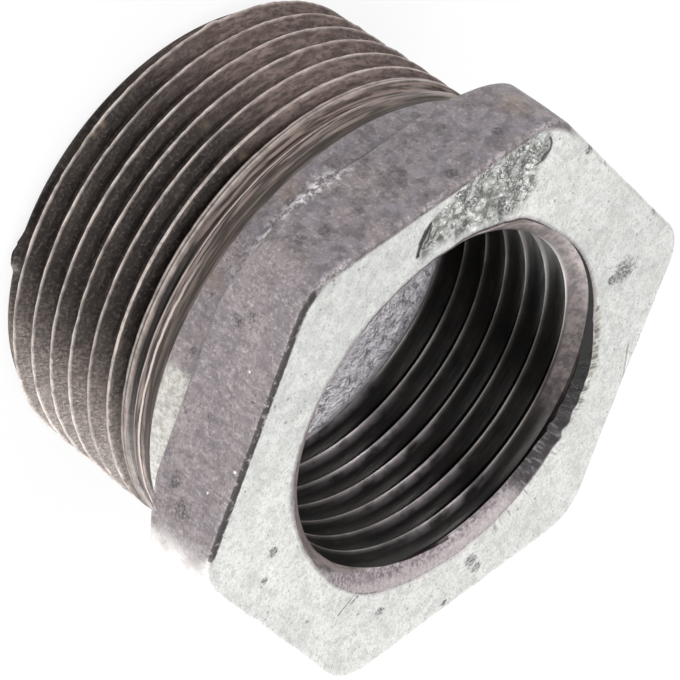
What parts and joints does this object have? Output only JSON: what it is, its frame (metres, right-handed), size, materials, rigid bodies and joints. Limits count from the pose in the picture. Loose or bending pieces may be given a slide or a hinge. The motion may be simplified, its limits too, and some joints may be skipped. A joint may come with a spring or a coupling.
{
  "type": "hex reducing bushing",
  "caption": "Cast pipe reducing bushing: hex head with a female thread through it, taper male thread on the spigot.",
  "frame": {"origin": "centre of the spigot end, on the thread axis, at the part's lowest plane", "axes": "+Z along the thread axis from the spigot end to the hex face; two hex flats face +X and -X, so two hex corners lie on the Y axis"},
  "size_m": [0.046, 0.0518, 0.031],
  "materials": {
    "galvanised_iron": "satin"
  },
  "bodies": {
    "root": {"hex_bushing": "galvanised_iron"}
  },
  "joints": []
}
